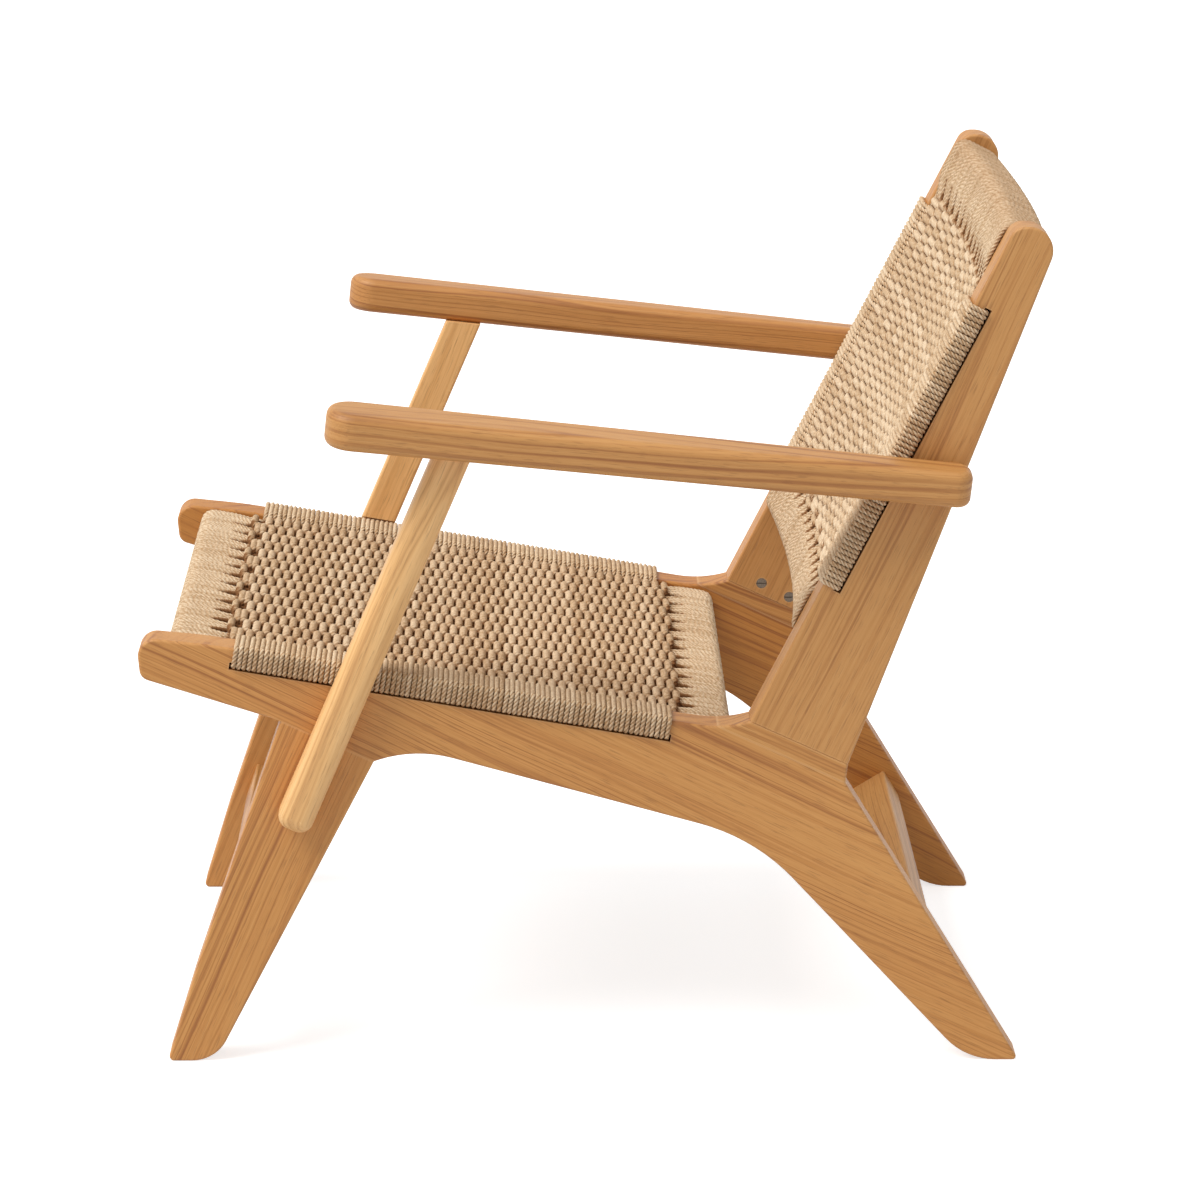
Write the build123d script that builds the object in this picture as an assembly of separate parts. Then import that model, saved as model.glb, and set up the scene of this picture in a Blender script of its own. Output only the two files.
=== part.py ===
from build123d import *
import math
import os

# Low lounge armchair: two plank side frames, cross pieces, armrests and a woven cord seat and back.
# Millimetres, Z up, floor at Z = 0. The front is -Y and the sitter's left is +X.
# Each side piece is built for the left and mirrored for the right.

# Side frames
frame_width = 561.0
plank = 36.0
edge_round = 2.5

# Seat line: the straight top edge of the side rails, from its front end downwards to the back
seat_y = -325.0
seat_z = 375.0
seat_pitch = 9.65

# Back line: the front edge of the back posts, from their foot upwards
back_y = 137.5
back_z = 307.0
back_lean = 27.0

# Side rail with rear leg: (Y, Z) corners of its outline and widths
rail_tip = (-390.3, 381.8)
rail_chin = (-386.8, 345.5)
rail_arch = (-151.0, 282.8)
rail_hollow = (142.4, 202.0)
rail_dip = 443.0
rear_foot_y = 376.0
rear_foot_width = 46.2
rear_shoulder_step = 6.0
block_thickness = 15.5

# Front leg
leg_joint_front = (-267.0, 307.5)
leg_joint_rear = (-186.7, 271.1)
front_foot_y = -368.7
front_foot_width = 41.8
shin_setback = 26.0
shin_height = 84.5

# Back post
post_foot_width = 93.4
post_joint_rise = 4.0
post_top_width = 37.5
post_front_round = 14.0
post_rear_round = 21.0
joint_break = 0.6
chair_height = 738.0

# Cord, its slots and where the weaving starts and ends along the seat line and the back line
cord = 4.5
cord_gap = 0.3
slot_gap = 0.35
slot_room = 1.5
seat_slot_drop = 15.0
back_slot_drop = 12.5
seat_weave = (19.0, 401.0)
back_weave_start = 137.0
back_weave_drop = 73.7
cord_relief = 1.0

# Cross pieces
seat_bar_width = 30.0
seat_bar_height = 28.0
seat_bar_drop = 7.3
seat_front_bar_at = -34.0
seat_rear_bar_at = 422.5
back_bar_height = 36.0
back_bar_depth = 35.4
back_bar_setback = 0.3
back_bottom_bar_at = 85.0
back_top_bar_drop = 6.7
back_bow = 11.0
bar_round = 7.0

# Stretchers
front_stretcher_height = 34.0
front_stretcher_thickness = 21.0
front_stretcher_top = 129.0
front_stretcher_inset = 13.0
rear_stretcher_height = 29.0
rear_stretcher_thickness = 38.0
rear_stretcher_top = 123.0
rear_stretcher_inset = 11.0
stretcher_round = 2.0

# Armrest, which stands off the post and rolls outwards, and its support
arm_front_y = -222.5
arm_front_z = 593.7
arm_pitch = 5.93
arm_roll = 3.0
arm_standoff = 5.5
arm_length = 549.0
arm_thickness = 32.0
arm_front_width = 59.0
arm_rear_width = 40.0
arm_nose_round = 24.0
arm_tail_round = 14.0
arm_edge_round = 8.0
support_foot_y = -258.0
support_foot_z = 216.0
support_lean = 23.1
support_width = 31.3
support_thickness = 30.0
support_edge_round = 12.0

# Fittings
fit = 0.1
dowel_diameter = 8.0
dowel_length = 40.0
dowel_spacing = 16.0
leg_dowel_diameter = 10.0
leg_dowel_length = 80.0
bolt_diameter = 6.0
bolt_head_diameter = 10.0
bolt_head_height = 6.0
bolt_socket = 5.0
bolt_length = 90.0
bolt_bore = 13.0
bolt_tip_gap = 1.0
bolt_setbacks = (31.0, 61.0)
nut_diameter = 10.0
nut_length = 26.0
nut_rise = 12.3
nut_recess = 0.5
nut_slot = 1.4
screw_diameter = 5.0
screw_head_diameter = 10.0
screw_head_height = 4.0
support_screw_length = 54.0
support_screws_at = (37.0, 112.0)
armrest_screw_length = 66.0
armrest_screws_at = (0.45, 0.8)
spacer_diameter = 15.0

# Places that follow from the sizes above
outer = frame_width / 2
inner = outer - plank
middle = outer - plank / 2
wrap = cord + cord_gap
back_length = (chair_height - back_z) / math.cos(math.radians(back_lean))
back_weave = (back_weave_start, back_length - back_weave_drop)
back_top_bar_at = back_length - back_top_bar_drop - back_bar_height
support_middle = outer + support_thickness / 2
arm_inner = outer + arm_standoff + arm_thickness * math.sin(math.radians(arm_roll))
seat_plane = Plane(
    origin=(0, seat_y, seat_z),
    x_dir=(1, 0, 0),
    z_dir=(0, math.sin(math.radians(seat_pitch)), math.cos(math.radians(seat_pitch))),
)
back_plane = Plane(
    origin=(0, back_y, back_z),
    x_dir=(1, 0, 0),
    z_dir=(0, -math.cos(math.radians(back_lean)), math.sin(math.radians(back_lean))),
)
arm_level = Plane(
    origin=(arm_inner, arm_front_y, arm_front_z),
    x_dir=(1, 0, 0),
    z_dir=(0, math.sin(math.radians(arm_pitch)), math.cos(math.radians(arm_pitch))),
)
arm_plane = Plane(arm_level.location * Rotation(0, arm_roll, 0))
arm_core = arm_plane.offset(-arm_thickness / 2)
arm_under = arm_plane.offset(-arm_thickness)


def side_point(plane, along, above=0.0):
    """(Y, Z) of a point given along a sloping plane and above it."""
    point = plane.from_local_coords((0, along, above))
    return (point.Y, point.Z)


def edge_point(start, end, height):
    """(Y, Z) of the point at a height on the straight line between two side points."""
    part = (height - start[1]) / (end[1] - start[1])
    return (start[0] + part * (end[0] - start[0]), height)


def height_on(plane, x, y):
    """Height of a sloping plane at (X, Y)."""
    slope = plane.z_dir
    drop = slope.X * (x - plane.origin.X) + slope.Y * (y - plane.origin.Y)
    return plane.origin.Z - drop / slope.Z


def crossing(start, end, plane, x):
    """(Y, Z) at which the straight side line through two points meets a sloping plane."""
    over = [z - height_on(plane, x, y) for y, z in (start, end)]
    part = over[0] / (over[0] - over[1])
    return (start[0] + part * (end[0] - start[0]), start[1] + part * (end[1] - start[1]))


post_joint_front = side_point(back_plane, 0.0)
post_joint_rear = side_point(back_plane, post_joint_rise, -post_foot_width)
rear_shoulder = side_point(
    back_plane, post_joint_rise - block_thickness, -post_foot_width - rear_shoulder_step
)
post_front_top = side_point(back_plane, back_length)
post_rear_top = side_point(
    back_plane, back_length + post_top_width * math.tan(math.radians(back_lean)), -post_top_width
)
rear_foot = (rear_foot_y, 0.0)
front_foot = (front_foot_y, 0.0)
front_shin = (front_foot_y + shin_setback, shin_height)

# Side outlines as rows of (Y, Z, corner radius)
rail_corners = [
    (*rail_tip, 15.0),
    (seat_y, seat_z, 400.0),
    (*side_point(seat_plane, rail_dip), 105.0),
    (*post_joint_front, 0.0),
    (*post_joint_rear, 0.0),
    (*rear_shoulder, 8.0),
    (*rear_foot, 3.0),
    (rear_foot_y - rear_foot_width, 0.0, 60.0),
    (*rail_hollow, 175.0),
    (*rail_arch, 110.0),
    (*leg_joint_rear, 0.0),
    (*leg_joint_front, 0.0),
    (*rail_chin, 10.0),
]
leg_corners = [
    (*leg_joint_front, 0.0),
    (*leg_joint_rear, 0.0),
    (front_foot_y + front_foot_width, 0.0, 34.0),
    (*front_foot, 4.0),
    (*front_shin, 300.0),
]
post_corners = [
    (*post_joint_front, 0.0),
    (*post_front_top, post_front_round),
    (*post_rear_top, post_rear_round),
    (*post_joint_rear, 0.0),
]


def side_face(corners):
    """Closed face in the side view from (Y, Z, corner radius) rows."""
    points = [(y, z) for y, z, radius in corners]
    radii = [radius for y, z, radius in corners]
    outline = FilletPolyline(*points, radius=radii, close=True)
    return Plane.YZ * make_face(outline.edges())


def side_plank(corners, x_low, x_high):
    """Plank with the given side outline between two X positions."""
    return Pos(x_low, 0, 0) * extrude(side_face(corners), amount=x_high - x_low, dir=(1, 0, 0))


def on_line(edge, start, end):
    """True if an edge lies along the straight side line between two points."""
    length = math.dist(start, end)
    for point in (edge @ 0, edge @ 1):
        across = (end[0] - start[0]) * (point.Z - start[1]) - (end[1] - start[1]) * (point.Y - start[0])
        if abs(across) / length > 0.01:
            return False
    return True


def round_side_edges(solid, radius, joints=()):
    """Round the edges of the two side faces, except along the joint lines."""
    edges = [
        edge
        for face in solid.faces().filter_by(Axis.X)
        for edge in face.edges()
        if not any(on_line(edge, start, end) for start, end in joints)
    ]
    return fillet(edges, radius)


def rod(start, end, diameter):
    """Round rod between two points."""
    start, end = Vector(*start), Vector(*end)
    place = Plane(origin=start, z_dir=end - start)
    base = (Align.CENTER, Align.CENTER, Align.MIN)
    return place * Cylinder(diameter / 2, (end - start).length, align=base)


def both_sides(solids):
    """The given left solids and their mirror images on the right."""
    return list(solids) + [mirror(solid, about=Plane.YZ) for solid in solids]


def slab(plane, x_range, along_range, above_range):
    """Rectangular block given by ranges in X, along a sloping plane and above it."""
    low = (x_range[0], along_range[0], above_range[0])
    size = (x_range[1] - x_range[0], along_range[1] - along_range[0], above_range[1] - above_range[0])
    return plane * (Pos(*low) * Box(*size, align=(Align.MIN, Align.MIN, Align.MIN)))


def bowed_slab(along_range, above_range, half_width):
    """Block across the back that bows backwards by back_bow between the posts."""
    low, high = above_range
    front = ThreePointArc((-inner, high), (0, high - back_bow), (inner, high))
    rear = ThreePointArc((-inner, low), (0, low - back_bow), (inner, low))
    sides = [Line(front @ 0, rear @ 0), Line(front @ 1, rear @ 1)]
    face = make_face([*front.edges(), *rear.edges(), *sides[0].edges(), *sides[1].edges()])
    length = along_range[1] - along_range[0]
    section = Plane(origin=(0, 0, 0), x_dir=(1, 0, 0), z_dir=(0, -1, 0))
    block = Pos(0, along_range[0], 0) * extrude(section * face, amount=length, dir=(0, 1, 0))
    depth = 4 * (high - low + back_bow)
    room = Pos(0, sum(along_range) / 2, low) * Box(2 * half_width, length, depth)
    return back_plane * (block & room)


def cut(solid, tools):
    """A solid with all the tools taken away from it."""
    for tool in tools:
        solid = solid - tool
    return solid


# Cord slots

def seat_slot():
    """Long slot through the left rail below its top edge, for the weft."""
    top = -seat_slot_drop + cord / 2 + slot_gap
    bottom = -seat_slot_drop - cord / 2 - slot_room
    ends = (seat_weave[0] - slot_room, seat_weave[1] + slot_room)
    return slab(seat_plane, (inner - 1, outer + 1), ends, (bottom, top))


def back_slot():
    """Long slot through the left post behind its front edge, for the weft."""
    top = -back_slot_drop + cord / 2 + slot_gap
    bottom = -back_slot_drop - cord / 2 - slot_room
    ends = (back_weave[0] - slot_room, back_weave[1] + slot_room)
    return slab(back_plane, (inner - 1, outer + 1), ends, (bottom, top))


# Fittings, each made as one list of solids for the left side

def dowel_pair(centre, direction, diameter, length, spacing_vector):
    """Two parallel dowels centred on both sides of a joint."""
    centre, direction, step = Vector(*centre), Vector(*direction), Vector(*spacing_vector)
    half = direction.normalized() * (length / 2)
    return [
        rod(centre + step * side - half, centre + step * side + half, diameter) for side in (-0.5, 0.5)
    ]


def leg_dowels(extra=0.0):
    """Two thick dowels across the joint of the left front leg and rail."""
    front, rear = Vector(0, *leg_joint_front), Vector(0, *leg_joint_rear)
    centre = (front + rear) / 2 + Vector(middle, 0, 0)
    across = (rear - front).cross(Vector(1, 0, 0))
    length = leg_dowel_length + 2 * extra
    return dowel_pair(centre, across, leg_dowel_diameter + 2 * extra, length, (rear - front) / 3)


def cross_dowels(plane, along, above, along_step, above_step, extra=0.0):
    """Two dowels between the end of a cross piece and the left side frame."""
    centre = plane.from_local_coords((inner, along, above))
    step = plane.from_local_coords((0, along_step, above_step)) - plane.origin
    length = dowel_length + 2 * extra
    return dowel_pair(centre, (1, 0, 0), dowel_diameter + 2 * extra, length, step)


def seat_bar_dowels(start, extra=0.0):
    """Two dowels at the left end of a seat cross piece."""
    along = start + seat_bar_width / 2
    return cross_dowels(seat_plane, along, -seat_bar_drop - seat_bar_height / 2, dowel_spacing, 0, extra)


def back_bar_dowels(start, extra=0.0):
    """Two dowels at the left end of a back cross piece."""
    along = start + back_bar_height / 2
    return cross_dowels(back_plane, along, -back_bar_setback - back_bar_depth / 2, dowel_spacing, 0, extra)


def bolt_point(setback, along):
    """Point on a post bolt's line at a distance along the post."""
    return back_plane.from_local_coords((middle, along, -setback))


def bolt_seat():
    """Distance along the post at which the bolt heads sit, below the joint."""
    return nut_rise + nut_diameter / 2 - bolt_tip_gap - bolt_length


def post_bolts():
    """Two socket head bolts from under the left rail up into the post."""
    bolts = []
    for setback in bolt_setbacks:
        seat = bolt_point(setback, bolt_seat())
        low = bolt_point(setback, bolt_seat() - bolt_head_height)
        tip = bolt_point(setback, bolt_seat() + bolt_length)
        socket = extrude(RegularPolygon(bolt_socket / 2, 6), amount=bolt_head_height / 2)
        head = rod(low, seat, bolt_head_diameter) - Plane(origin=low, z_dir=tip - low) * socket
        bolts.append(head + rod(seat, tip, bolt_diameter))
    return bolts


def bolt_holes():
    """Clearance holes of the post bolts, with a wide bore for each head from below."""
    holes = []
    for setback in bolt_setbacks:
        seat = bolt_point(setback, bolt_seat())
        below = bolt_point(setback, bolt_seat() - bolt_length)
        tip = bolt_point(setback, bolt_seat() + bolt_length + fit)
        holes.append(rod(seat, tip, bolt_diameter + 2 * fit))
        holes.append(rod(below, seat, bolt_bore))
    return holes


def nut_rods(start, end, diameter):
    """Rods on the places of the two cross nuts in the left post, between two X positions."""
    places = [side_point(back_plane, nut_rise, -setback) for setback in bolt_setbacks]
    return [rod((start, y, z), (end, y, z), diameter) for y, z in places]


def post_nuts():
    """Two cross nuts in the left post, seen as round ends with a driver slot on its inner face."""
    start = inner + nut_recess
    nuts = []
    for nut in nut_rods(start, start + nut_length, nut_diameter):
        end = nut.center()
        driver_slot = Pos(start, end.Y, end.Z) * Box(2 * nut_slot, 2 * nut_diameter, nut_slot)
        nuts.append(cut(nut, [*bolt_holes(), driver_slot]))
    return nuts


def nut_holes():
    """Blind holes of the cross nuts from the inner face of the left post."""
    return nut_rods(inner - 1, inner + nut_recess + nut_length + fit, nut_diameter + 2 * fit)


def screw(y, z, length, extra=0.0):
    """Countersunk screw from the inner face of the left frame towards +X."""
    start = inner - 1 if extra else inner + fit
    shank = rod((start, y, z), (inner + length + extra, y, z), screw_diameter + 2 * extra)
    head = Cone(
        screw_head_diameter / 2 + extra,
        screw_diameter / 2 + extra,
        screw_head_height,
        align=(Align.CENTER, Align.CENTER, Align.MIN),
    )
    place = Plane(origin=(inner + (0 if extra else fit), y, z), z_dir=(1, 0, 0))
    return shank + place * head


def support_point(along):
    """(Y, Z) on the middle line of the arm support, measured from its foot."""
    lean = math.radians(support_lean)
    return (support_foot_y + along * math.sin(lean), support_foot_z + along * math.cos(lean))


def support_screws(extra=0.0):
    """Two screws through the left front leg and rail into the arm support."""
    return [screw(*support_point(along), support_screw_length, extra) for along in support_screws_at]


def armrest_fixings():
    """(Y, Z) of the two places at which the armrest is fixed to the left post."""
    x = outer + arm_standoff
    front = crossing(post_joint_front, post_front_top, arm_core, x)[0]
    rear = crossing(post_joint_rear, post_rear_top, arm_core, x)[0]
    places = [front + part * (rear - front) for part in armrest_screws_at]
    return [(y, height_on(arm_core, x, y)) for y in places]


def armrest_screws(extra=0.0):
    """Two screws through the left post into the armrest."""
    return [screw(y, z, armrest_screw_length, extra) for y, z in armrest_fixings()]


def arm_spacers():
    """Two round spacers on the armrest's screws, which keep it clear of the cord on the left post."""
    spacers = []
    for y, z in armrest_fixings():
        spacer = rod((outer, y, z), (arm_inner, y, z), spacer_diameter)
        spacers.append(cut(spacer, [arm_board(), *armrest_screws(fit)]))
    return spacers


def support_top():
    """Distance along the support at which its middle line meets the armrest's underside."""
    height = crossing(support_point(0.0), support_point(1.0), arm_under, support_middle)[1]
    return (height - support_foot_z) / math.cos(math.radians(support_lean))


def arm_dowel(extra=0.0):
    """Dowel along the left support into the armrest."""
    half = dowel_length / 2 + extra
    start = (support_middle, *support_point(support_top() - half))
    end = (support_middle, *support_point(support_top() + half))
    return [rod(start, end, dowel_diameter + 2 * extra)]


# Stretchers, with their sizes as (height, thickness, inset)
front_stretcher_sizes = (front_stretcher_height, front_stretcher_thickness, front_stretcher_inset)
rear_stretcher_sizes = (rear_stretcher_height, rear_stretcher_thickness, rear_stretcher_inset)


def front_stretcher_plane():
    """Plane of the front stretcher: along the front edge of the leg, facing forwards."""
    y, z = edge_point(leg_joint_front, front_shin, front_stretcher_top)
    up = Vector(0, *leg_joint_front) - Vector(0, *front_shin)
    return Plane(origin=(0, y, z), x_dir=(1, 0, 0), z_dir=Vector(1, 0, 0).cross(up))


def rear_stretcher_plane():
    """Plane of the rear stretcher: along the rear edge of the leg, facing backwards."""
    y, z = edge_point(rear_shoulder, rear_foot, rear_stretcher_top)
    up = Vector(0, *rear_shoulder) - Vector(0, *rear_foot)
    return Plane(origin=(0, y, z), x_dir=(-1, 0, 0), z_dir=Vector(-1, 0, 0).cross(up))


def stretcher(plane, height, thickness, inset):
    """Board across the chair, set in from the edge of the legs."""
    board = slab(plane, (-inner, inner), (-height, 0), (-inset - thickness, -inset))
    return fillet(board.edges().filter_by(Axis.X), stretcher_round)


def stretcher_dowels(plane, height, thickness, inset, extra=0.0):
    """Two dowels at the left end of a stretcher, spread over its longer side."""
    x = inner if plane.x_dir.X > 0 else -inner
    centre = plane.from_local_coords((x, -height / 2, -inset - thickness / 2))
    upright = height > thickness
    local_step = (0, dowel_spacing, 0) if upright else (0, 0, dowel_spacing)
    step = plane.from_local_coords(local_step) - plane.origin
    length = dowel_length + 2 * extra
    return dowel_pair(centre, (1, 0, 0), dowel_diameter + 2 * extra, length, step)


def all_stretcher_dowels(extra=0.0):
    """The left dowels of both stretchers."""
    front = stretcher_dowels(front_stretcher_plane(), *front_stretcher_sizes, extra)
    rear = stretcher_dowels(rear_stretcher_plane(), *rear_stretcher_sizes, extra)
    return front, rear


# Side frame pieces

def rail_and_block():
    """Left side rail with rear leg, and the strip glued on top of it under the post."""
    leg_joint = (leg_joint_front, leg_joint_rear)
    post_joint = (post_joint_front, post_joint_rear)
    solid = side_plank(rail_corners, inner, outer)
    solid = round_side_edges(solid, edge_round, [leg_joint, post_joint])
    rear_line = side_point(back_plane, post_joint_rise - block_thickness, -post_foot_width)
    front_line = side_point(back_plane, -block_thickness)
    up = Vector(1, 0, 0).cross(Vector(0, *rear_line) - Vector(0, *front_line))
    glue_plane = Plane(origin=(0, *front_line), z_dir=up)
    block = split(solid, bisect_by=glue_plane, keep=Keep.TOP)
    rail = split(solid, bisect_by=glue_plane, keep=Keep.BOTTOM)
    rail_holes = [
        seat_slot(),
        *leg_dowels(fit),
        *seat_bar_dowels(seat_front_bar_at, fit),
        *seat_bar_dowels(seat_rear_bar_at, fit),
        *all_stretcher_dowels(fit)[1],
        *support_screws(fit),
        *bolt_holes(),
    ]
    return cut(rail, rail_holes), cut(block, bolt_holes())


def front_leg():
    """Left front leg."""
    solid = side_plank(leg_corners, inner, outer)
    solid = round_side_edges(solid, edge_round, [(leg_joint_front, leg_joint_rear)])
    return cut(solid, [*leg_dowels(fit), *all_stretcher_dowels(fit)[0], *support_screws(fit)])


def back_post():
    """Left back post, with a small edge break round its foot."""
    solid = side_plank(post_corners, inner, outer)
    solid = round_side_edges(solid, edge_round, [(post_joint_front, post_joint_rear)])
    foot = [edge for edge in solid.edges() if on_line(edge, post_joint_front, post_joint_rear)]
    solid = chamfer(foot, joint_break)
    holes = [
        back_slot(),
        *back_bar_dowels(back_bottom_bar_at, fit),
        *back_bar_dowels(back_top_bar_at, fit),
        *bolt_holes(),
        *nut_holes(),
        *armrest_screws(fit),
    ]
    return cut(solid, holes)


# Armrest and support

def seat_cord_relief():
    """Room for the weft strip on the outer face of the left rail."""
    depth = wrap + cord_relief
    low = -seat_slot_drop - cord / 2 - cord_relief
    return slab(seat_plane, (outer - 1, outer + depth), seat_weave, (low, depth))


def arm_board():
    """Board of the left armrest, wide at the front and narrow at the back."""
    corners = [(0, 0), (arm_front_width, 0), (arm_rear_width, arm_length), (0, arm_length)]
    radii = [arm_nose_round, arm_nose_round, arm_tail_round, arm_tail_round]
    outline = FilletPolyline(*corners, radius=radii, close=True)
    board = extrude(make_face(outline.edges()), amount=arm_thickness, dir=(0, 0, -1))
    rims = board.faces().filter_by(Axis.Z)
    board = fillet([edge for rim in rims for edge in rim.edges()], arm_edge_round)
    return arm_plane * board


def armrest():
    """Left armrest."""
    return cut(arm_board(), [*armrest_screws(fit), *arm_dowel(fit)])


def arm_support():
    """Left arm support: slanted bar under the armrest with rounded edges."""
    lean = math.radians(support_lean)
    side = (math.cos(lean) * support_width / 2, -math.sin(lean) * support_width / 2)
    foot, top = support_point(0.0), support_point(support_top() + support_width)
    corners = [
        (foot[0] - side[0], foot[1] - side[1], support_edge_round),
        (foot[0] + side[0], foot[1] + side[1], support_edge_round),
        (top[0] + side[0], top[1] + side[1], 0.0),
        (top[0] - side[0], top[1] - side[1], 0.0),
    ]
    bar = side_plank(corners, outer, outer + support_thickness)
    outer_face = bar.faces().sort_by(Axis.X)[-1]
    bar = fillet(outer_face.edges(), support_edge_round)
    inner_face = bar.faces().filter_by(Axis.X).sort_by(Axis.X)[0]
    bar = fillet(inner_face.edges(), edge_round)
    bar = split(bar, bisect_by=arm_under, keep=Keep.BOTTOM)
    return cut(bar, [seat_cord_relief(), *support_screws(fit), *arm_dowel(fit)])


# Cross pieces

def seat_bar(start):
    """Cross piece of the seat between the rails."""
    top = -seat_bar_drop
    bar = slab(seat_plane, (-inner, inner), (start, start + seat_bar_width), (top - seat_bar_height, top))
    bar = fillet(bar.edges().filter_by(Axis.X), bar_round)
    return cut(bar, both_sides(seat_bar_dowels(start, fit)))


def back_bar(start):
    """Cross piece of the back between the posts, bowed backwards."""
    front = -back_bar_setback
    bar = bowed_slab((start, start + back_bar_height), (front - back_bar_depth, front), inner)
    long_edges = [edge for edge in bar.edges() if edge.length > inner]
    bar = fillet(long_edges, bar_round)
    return cut(bar, both_sides(back_bar_dowels(start, fit)))


# Cord, as plain sheets and wraps

def seat_wrap(start):
    """Warp wound round one seat cross piece."""
    half = inner - cord_gap
    top = -seat_bar_drop
    low, high = top - seat_bar_height, top
    ends = (start - wrap, start + seat_bar_width + wrap)
    body = slab(seat_plane, (-half, half), ends, (low - wrap, high + wrap))
    body = fillet(body.edges().filter_by(Axis.X), bar_round + wrap)
    ends = (start - cord_gap, start + seat_bar_width + cord_gap)
    core = slab(seat_plane, (-inner, inner), ends, (low - cord_gap, high + cord_gap))
    return body - fillet(core.edges().filter_by(Axis.X), bar_round + cord_gap)


def seat_warp():
    """Warp of the seat: wraps round both cross pieces and the sheet between them."""
    half = inner - wrap - cord_gap
    top = -seat_bar_drop + wrap
    start = seat_front_bar_at + seat_bar_width + cord_gap
    sheet = slab(seat_plane, (-half, half), (start, seat_rear_bar_at - cord_gap), (top - cord, top))
    return seat_wrap(seat_front_bar_at) + seat_wrap(seat_rear_bar_at) + sheet


def seat_weft():
    """Weft of the seat: sheet over warp and rails, round the top strip of each rail through its slot."""
    bottom = -seat_slot_drop - cord / 2
    under = -seat_bar_drop + wrap + cord_gap
    sheet = slab(seat_plane, (-outer - wrap, outer + wrap), seat_weave, (cord_gap, wrap))
    lower = slab(seat_plane, (-inner + cord_gap, inner - cord_gap), seat_weave, (under, wrap))
    strips = []
    for x_range in ((outer + cord_gap, outer + wrap), (inner - wrap, inner - cord_gap)):
        strips.append(slab(seat_plane, x_range, seat_weave, (bottom, wrap)))
    tongue = slab(seat_plane, (inner - wrap, outer + wrap), seat_weave, (bottom, bottom + cord))
    solid = sheet + lower
    for piece in both_sides([*strips, tongue]):
        solid = solid + piece
    return solid


def back_wrap(start):
    """Warp wound round one back cross piece."""
    front = -back_bar_setback
    rear = front - back_bar_depth
    ends = (start - wrap, start + back_bar_height + wrap)
    body = bowed_slab(ends, (rear - wrap, front + wrap), inner - cord_gap)
    body = fillet([edge for edge in body.edges() if edge.length > inner], bar_round + wrap / 2)
    ends = (start - cord_gap, start + back_bar_height + cord_gap)
    core = bowed_slab(ends, (rear - cord_gap, front + cord_gap), inner)
    return body - fillet([edge for edge in core.edges() if edge.length > inner], bar_round + cord_gap)


def back_warp():
    """Warp of the back: wraps round both cross pieces and the sheet between them."""
    start = back_bottom_bar_at + back_bar_height + cord_gap
    half = inner - wrap - cord_gap
    sheet = bowed_slab((start, back_top_bar_at - cord_gap), (-cord - cord_gap, -cord_gap), half)
    return back_wrap(back_bottom_bar_at) + back_wrap(back_top_bar_at) + sheet


def back_weft():
    """Weft of the back: sheet before warp and posts, round the front strip of each post through its slot."""
    bottom = -back_slot_drop - cord / 2
    solid = bowed_slab(back_weave, (0, wrap), inner - cord_gap)
    pieces = [slab(back_plane, (inner - wrap, outer + wrap), back_weave, (cord_gap, wrap))]
    for x_range in ((outer + cord_gap, outer + wrap), (inner - wrap, inner - cord_gap)):
        pieces.append(slab(back_plane, x_range, back_weave, (bottom, wrap)))
    pieces.append(slab(back_plane, (inner - wrap, outer + wrap), back_weave, (bottom, bottom + cord)))
    for piece in both_sides(pieces):
        solid = solid + piece
    return solid


# All nodes

def front_stretcher():
    """Stretcher between the front legs."""
    board = stretcher(front_stretcher_plane(), *front_stretcher_sizes)
    return cut(board, both_sides(all_stretcher_dowels(fit)[0]))


def rear_stretcher():
    """Stretcher between the rear legs."""
    board = stretcher(rear_stretcher_plane(), *rear_stretcher_sizes)
    return cut(board, both_sides(all_stretcher_dowels(fit)[1]))


def cross_piece_dowels():
    """Dowels of all four cross pieces on the left."""
    return [
        *seat_bar_dowels(seat_front_bar_at),
        *seat_bar_dowels(seat_rear_bar_at),
        *back_bar_dowels(back_bottom_bar_at),
        *back_bar_dowels(back_top_bar_at),
    ]


side_rail, post_block = rail_and_block()
side_pieces = {
    "side_rail": side_rail,
    "post_block": post_block,
    "front_leg": front_leg(),
    "back_post": back_post(),
    "armrest": armrest(),
    "arm_support": arm_support(),
}
single_pieces = {
    "seat_front_crossbar": seat_bar(seat_front_bar_at),
    "seat_rear_crossbar": seat_bar(seat_rear_bar_at),
    "back_bottom_crossbar": back_bar(back_bottom_bar_at),
    "back_top_crossbar": back_bar(back_top_bar_at),
    "front_stretcher": front_stretcher(),
    "rear_stretcher": rear_stretcher(),
    "seat_warp_cord": seat_warp(),
    "seat_weft_cord": seat_weft(),
    "back_warp_cord": back_warp(),
    "back_weft_cord": back_weft(),
}
fitting_groups = {
    "front_leg_dowels": leg_dowels(),
    "crossbar_dowels": cross_piece_dowels(),
    "stretcher_dowels": [dowel for pair in all_stretcher_dowels() for dowel in pair],
    "arm_dowels": arm_dowel(),
    "arm_spacers": arm_spacers(),
    "post_bolts": post_bolts(),
    "post_nuts": post_nuts(),
    "support_screws": support_screws(),
    "armrest_screws": armrest_screws(),
}

os.makedirs("parts", exist_ok=True)
for name, solid in side_pieces.items():
    export_step(solid, f"parts/left_{name}.step")
    export_step(mirror(solid, about=Plane.YZ), f"parts/right_{name}.step")
for name, solid in single_pieces.items():
    export_step(solid, f"parts/{name}.step")
for name, solids in fitting_groups.items():
    export_step(Compound(children=both_sides(solids)), f"parts/{name}.step")
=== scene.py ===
import math
from dataclasses import dataclass

import bpy
import numpy as np
from mathutils import Matrix, Vector


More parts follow.
